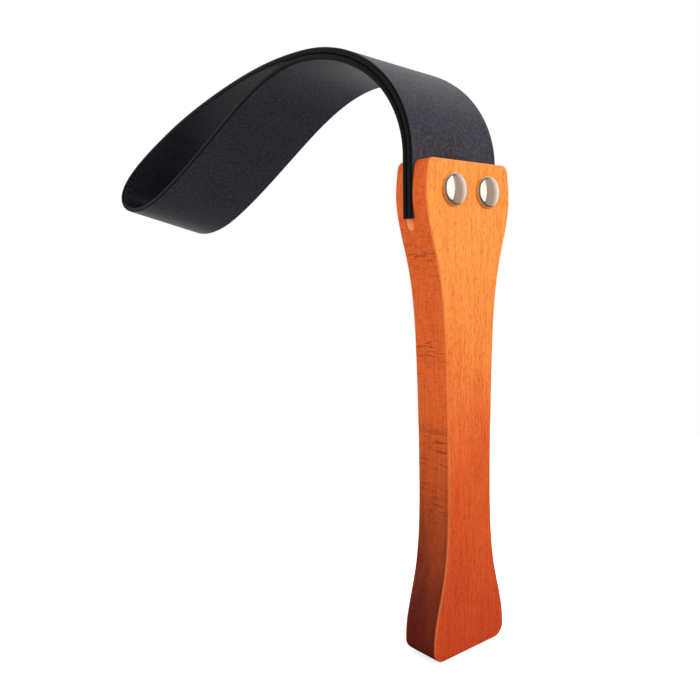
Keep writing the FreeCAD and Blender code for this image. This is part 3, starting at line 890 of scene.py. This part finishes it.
# %% Spun caps
cap_low, cap_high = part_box("rivet_right_front_cap")
CAP_RADIUS = (cap_high.x - cap_low.x) / 2
CAP_WALL, CAP_SIDE, CAP_ROUND, DOME_RADIUS, LIP = 0.5 * MM, 0.7 * MM, 1.1 * MM, 16 * MM, 1.2 * MM
FOOT_ROUND, LIP_CHAMFER, CRISP_CAP = 0.25 * MM, 0.1 * MM, 50
DOME_STEPS, SHOULDER_STEPS, FOOT_STEPS = 18, 12, 6


def dome_profile(inset, base):
    """From the axis out over the dome, round the shoulder and down the side, as (r, h).

    Dome and shoulder are two circles that meet where the line through their centres
    cuts them; an inset moves every part of the outline in by the same amount.
    """
    dome, shoulder, side = DOME_RADIUS - inset, CAP_ROUND - inset, CAP_RADIUS - inset
    centre_r = CAP_RADIUS - CAP_ROUND
    drop = math.sqrt((DOME_RADIUS - CAP_ROUND) ** 2 - centre_r**2)
    meet = math.asin(centre_r / (DOME_RADIUS - CAP_ROUND))
    over = np.linspace(0, meet, DOME_STEPS)
    rolled = np.linspace(meet, np.pi / 2, SHOULDER_STEPS)[1:]
    top = np.stack([dome * np.sin(over), CAP_SIDE - drop + dome * np.cos(over)], -1)
    turn = np.stack([centre_r + shoulder * np.sin(rolled), CAP_SIDE + shoulder * np.cos(rolled)], -1)
    foot_turn = np.linspace(0, np.pi / 2, FOOT_STEPS)
    foot = FOOT_ROUND * (1 - inset / CAP_WALL)
    low = np.stack([side - foot * (1 - np.cos(foot_turn)), base + foot * (1 - np.sin(foot_turn))], -1)
    return np.concatenate([top, turn, low])


def spin(name, profile, place, facing, count=96):
    """A profile of (r, h) turned about an axis along Y, its height measured along facing."""
    turn = np.linspace(0, 2 * np.pi, count + 1)[:-1]
    r, h = profile[:, :1], profile[:, 1:]
    x, z = place[0] + r * np.cos(turn), place[2] + r * np.sin(turn)
    y = np.broadcast_to(place[1] + facing * h, x.shape)
    points = np.stack([x, y, z], -1).reshape(-1, 3)
    piece = new_piece(name, points, grid_faces(len(profile), count))
    faces_outward(piece)
    return piece


def cap_outline():
    """The whole wall of a cap: outside, turned-in lip, and back up the inside."""
    outside = dome_profile(0.0, 0.0)
    inside = dome_profile(CAP_WALL, CAP_WALL)[::-1]
    hole = CAP_RADIUS - LIP
    lip = np.array([(hole + LIP_CHAMFER, 0.0), (hole, LIP_CHAMFER), (hole, CAP_WALL)])
    return np.concatenate([outside, lip, inside])


# %% Nickel finish
NICKEL_LIGHT, NICKEL_WARM, DENT_DEPTH = (0.80, 0.77, 0.72), (0.70, 0.66, 0.60), 0.00012
HAZE, MARKS, DENTS = 420.0, (2500, 2500, 300), 160.0


def nickel():
    """Bright nickel with faint polishing haze, tiny handling marks and soft dents."""
    metal = Recipe("nickel_cap")
    where = metal.node("ShaderNodeTexCoord", out="Object")
    haze = metal.noise(where, HAZE, 3.0)
    marks = metal.noise(metal.moved(where, MARKS), 1.0, 2.0)
    rough = 0.10 + haze.over(0.45, 0.75) * 0.10 + marks.over(0.66, 0.80) * 0.12
    normal = metal.bump(metal.noise(where, DENTS, 2.0), DENT_DEPTH, 0.5)
    tint = metal.mix(haze, NICKEL_LIGHT, NICKEL_WARM)
    return metal.finish(Base_Color=tint, Metallic=1.0, Roughness=rough, Normal=normal)


nickel_finish = nickel()
for side_name, side in (("left", -1), ("right", 1)):
    for face_name, facing in (("front", -1), ("back", 1)):
        node = f"rivet_{side_name}_{face_name}_cap"
        place = (side * RIVET_X, facing * THICKNESS / 2, RIVET_Z)
        cap = spin(f"{node}_shell", cap_outline(), place, facing)
        cap.data.materials.append(nickel_finish)
        crisp(cap, CRISP_CAP)
        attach(cap, "handle")
        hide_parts(node)
        print(cap.name, len(cap.data.polygons), "faces")

# %% [markdown]
# The posts and sockets are inside the joint. Their CAD shapes are right as they are, so
# they only get a plated steel finish.

# %% Inner rivet pieces
STEEL_DARK, STEEL_LIGHT = (0.52, 0.50, 0.47), (0.66, 0.64, 0.60)
TURNING_LINES = (200, 9000, 200)


def plated_steel():
    """Dull plated steel with fine turning lines round the shaft."""
    steel = Recipe("plain_steel")
    where = steel.node("ShaderNodeTexCoord", out="Object")
    lines = steel.noise(steel.moved(where, TURNING_LINES), 1.0, 2.0)
    tone = steel.mix(lines, STEEL_DARK, STEEL_LIGHT)
    return steel.finish(Base_Color=tone, Metallic=1.0, Roughness=0.28 + lines * 0.14)


steel_finish = plated_steel()
for side_name in ("left", "right"):
    for part in ("post", "socket"):
        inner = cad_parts[f"rivet_{side_name}_{part}"]
        inner.data.materials.clear()
        inner.data.materials.append(steel_finish)
        print(inner.name, "has", steel_finish.name)
